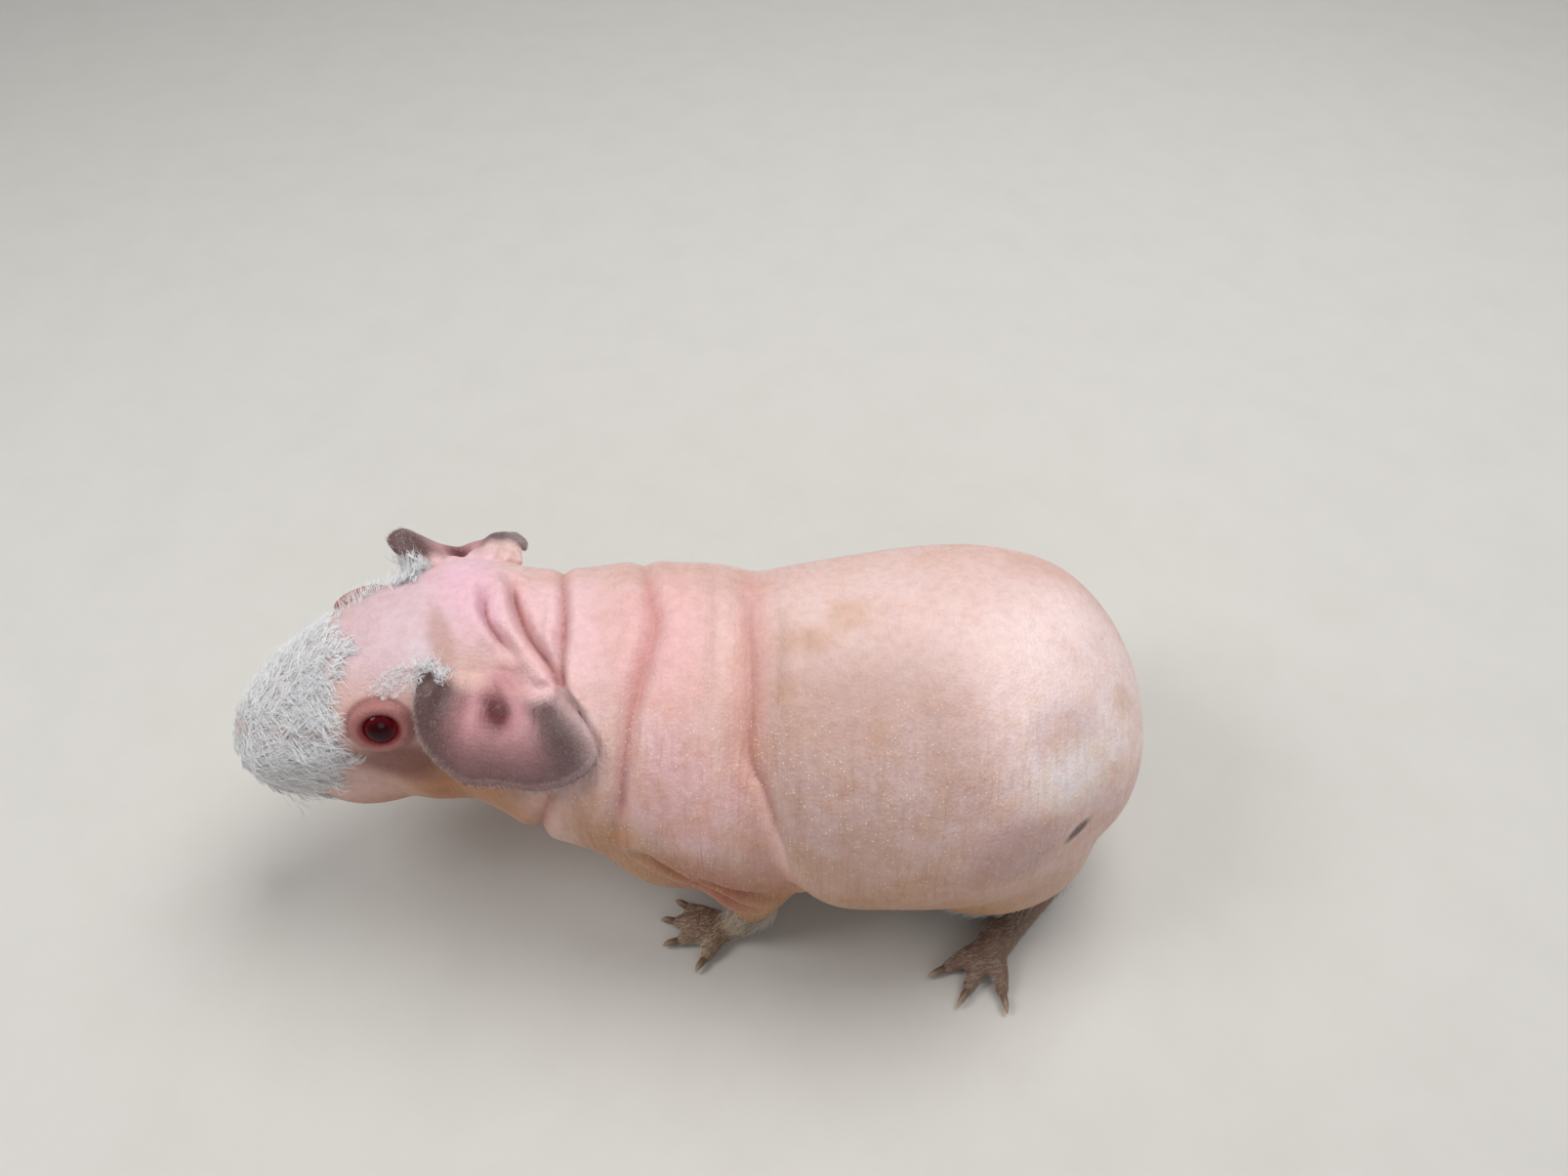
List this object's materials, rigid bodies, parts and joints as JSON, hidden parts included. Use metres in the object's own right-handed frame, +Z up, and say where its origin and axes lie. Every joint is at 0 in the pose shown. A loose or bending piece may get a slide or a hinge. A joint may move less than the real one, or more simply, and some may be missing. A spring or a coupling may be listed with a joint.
{
  "type": "skinny pig model",
  "caption": "Life-size still model of a skinny pig, the hairless guinea pig, standing on all fours with its head turned a little to its left.",
  "frame": {"origin": "on the floor, under the middle of the model's box", "axes": "+Z up; the animal faces -X and its left side faces -Y"},
  "size_m": [0.2298, 0.116, 0.092],
  "materials": {
    "skin": "bare pale pink skin, soft and matte, faintly mottled, darker grey-brown on the paws",
    "ear_skin": "thin grey-brown skin, pink at the root, with pale fuzz",
    "eye": "wet, dark ruby red",
    "claw": "dark brown horn, a little glossy",
    "hair": "short curly white hair on the muzzle, fuzz on the brow, ears and feet"
  },
  "bodies": {
    "root": {"head": "skin", "neck": "skin", "torso": "skin", "ear_left": "ear_skin", "eye_left": "eye", "leg_front_left": "skin", "claw_front_left_1": "claw", "claw_front_left_2": "claw", "claw_front_left_3": "claw", "claw_front_left_4": "claw", "leg_hind_left": "skin", "claw_hind_left_1": "claw", "claw_hind_left_2": "claw", "claw_hind_left_3": "claw", "ear_right": "ear_skin", "eye_right": "eye", "leg_front_right": "skin", "claw_front_right_1": "claw", "claw_front_right_2": "claw", "claw_front_right_3": "claw", "claw_front_right_4": "claw", "leg_hind_right": "skin", "claw_hind_right_1": "claw", "claw_hind_right_2": "claw", "claw_hind_right_3": "claw"}
  },
  "joints": []
}
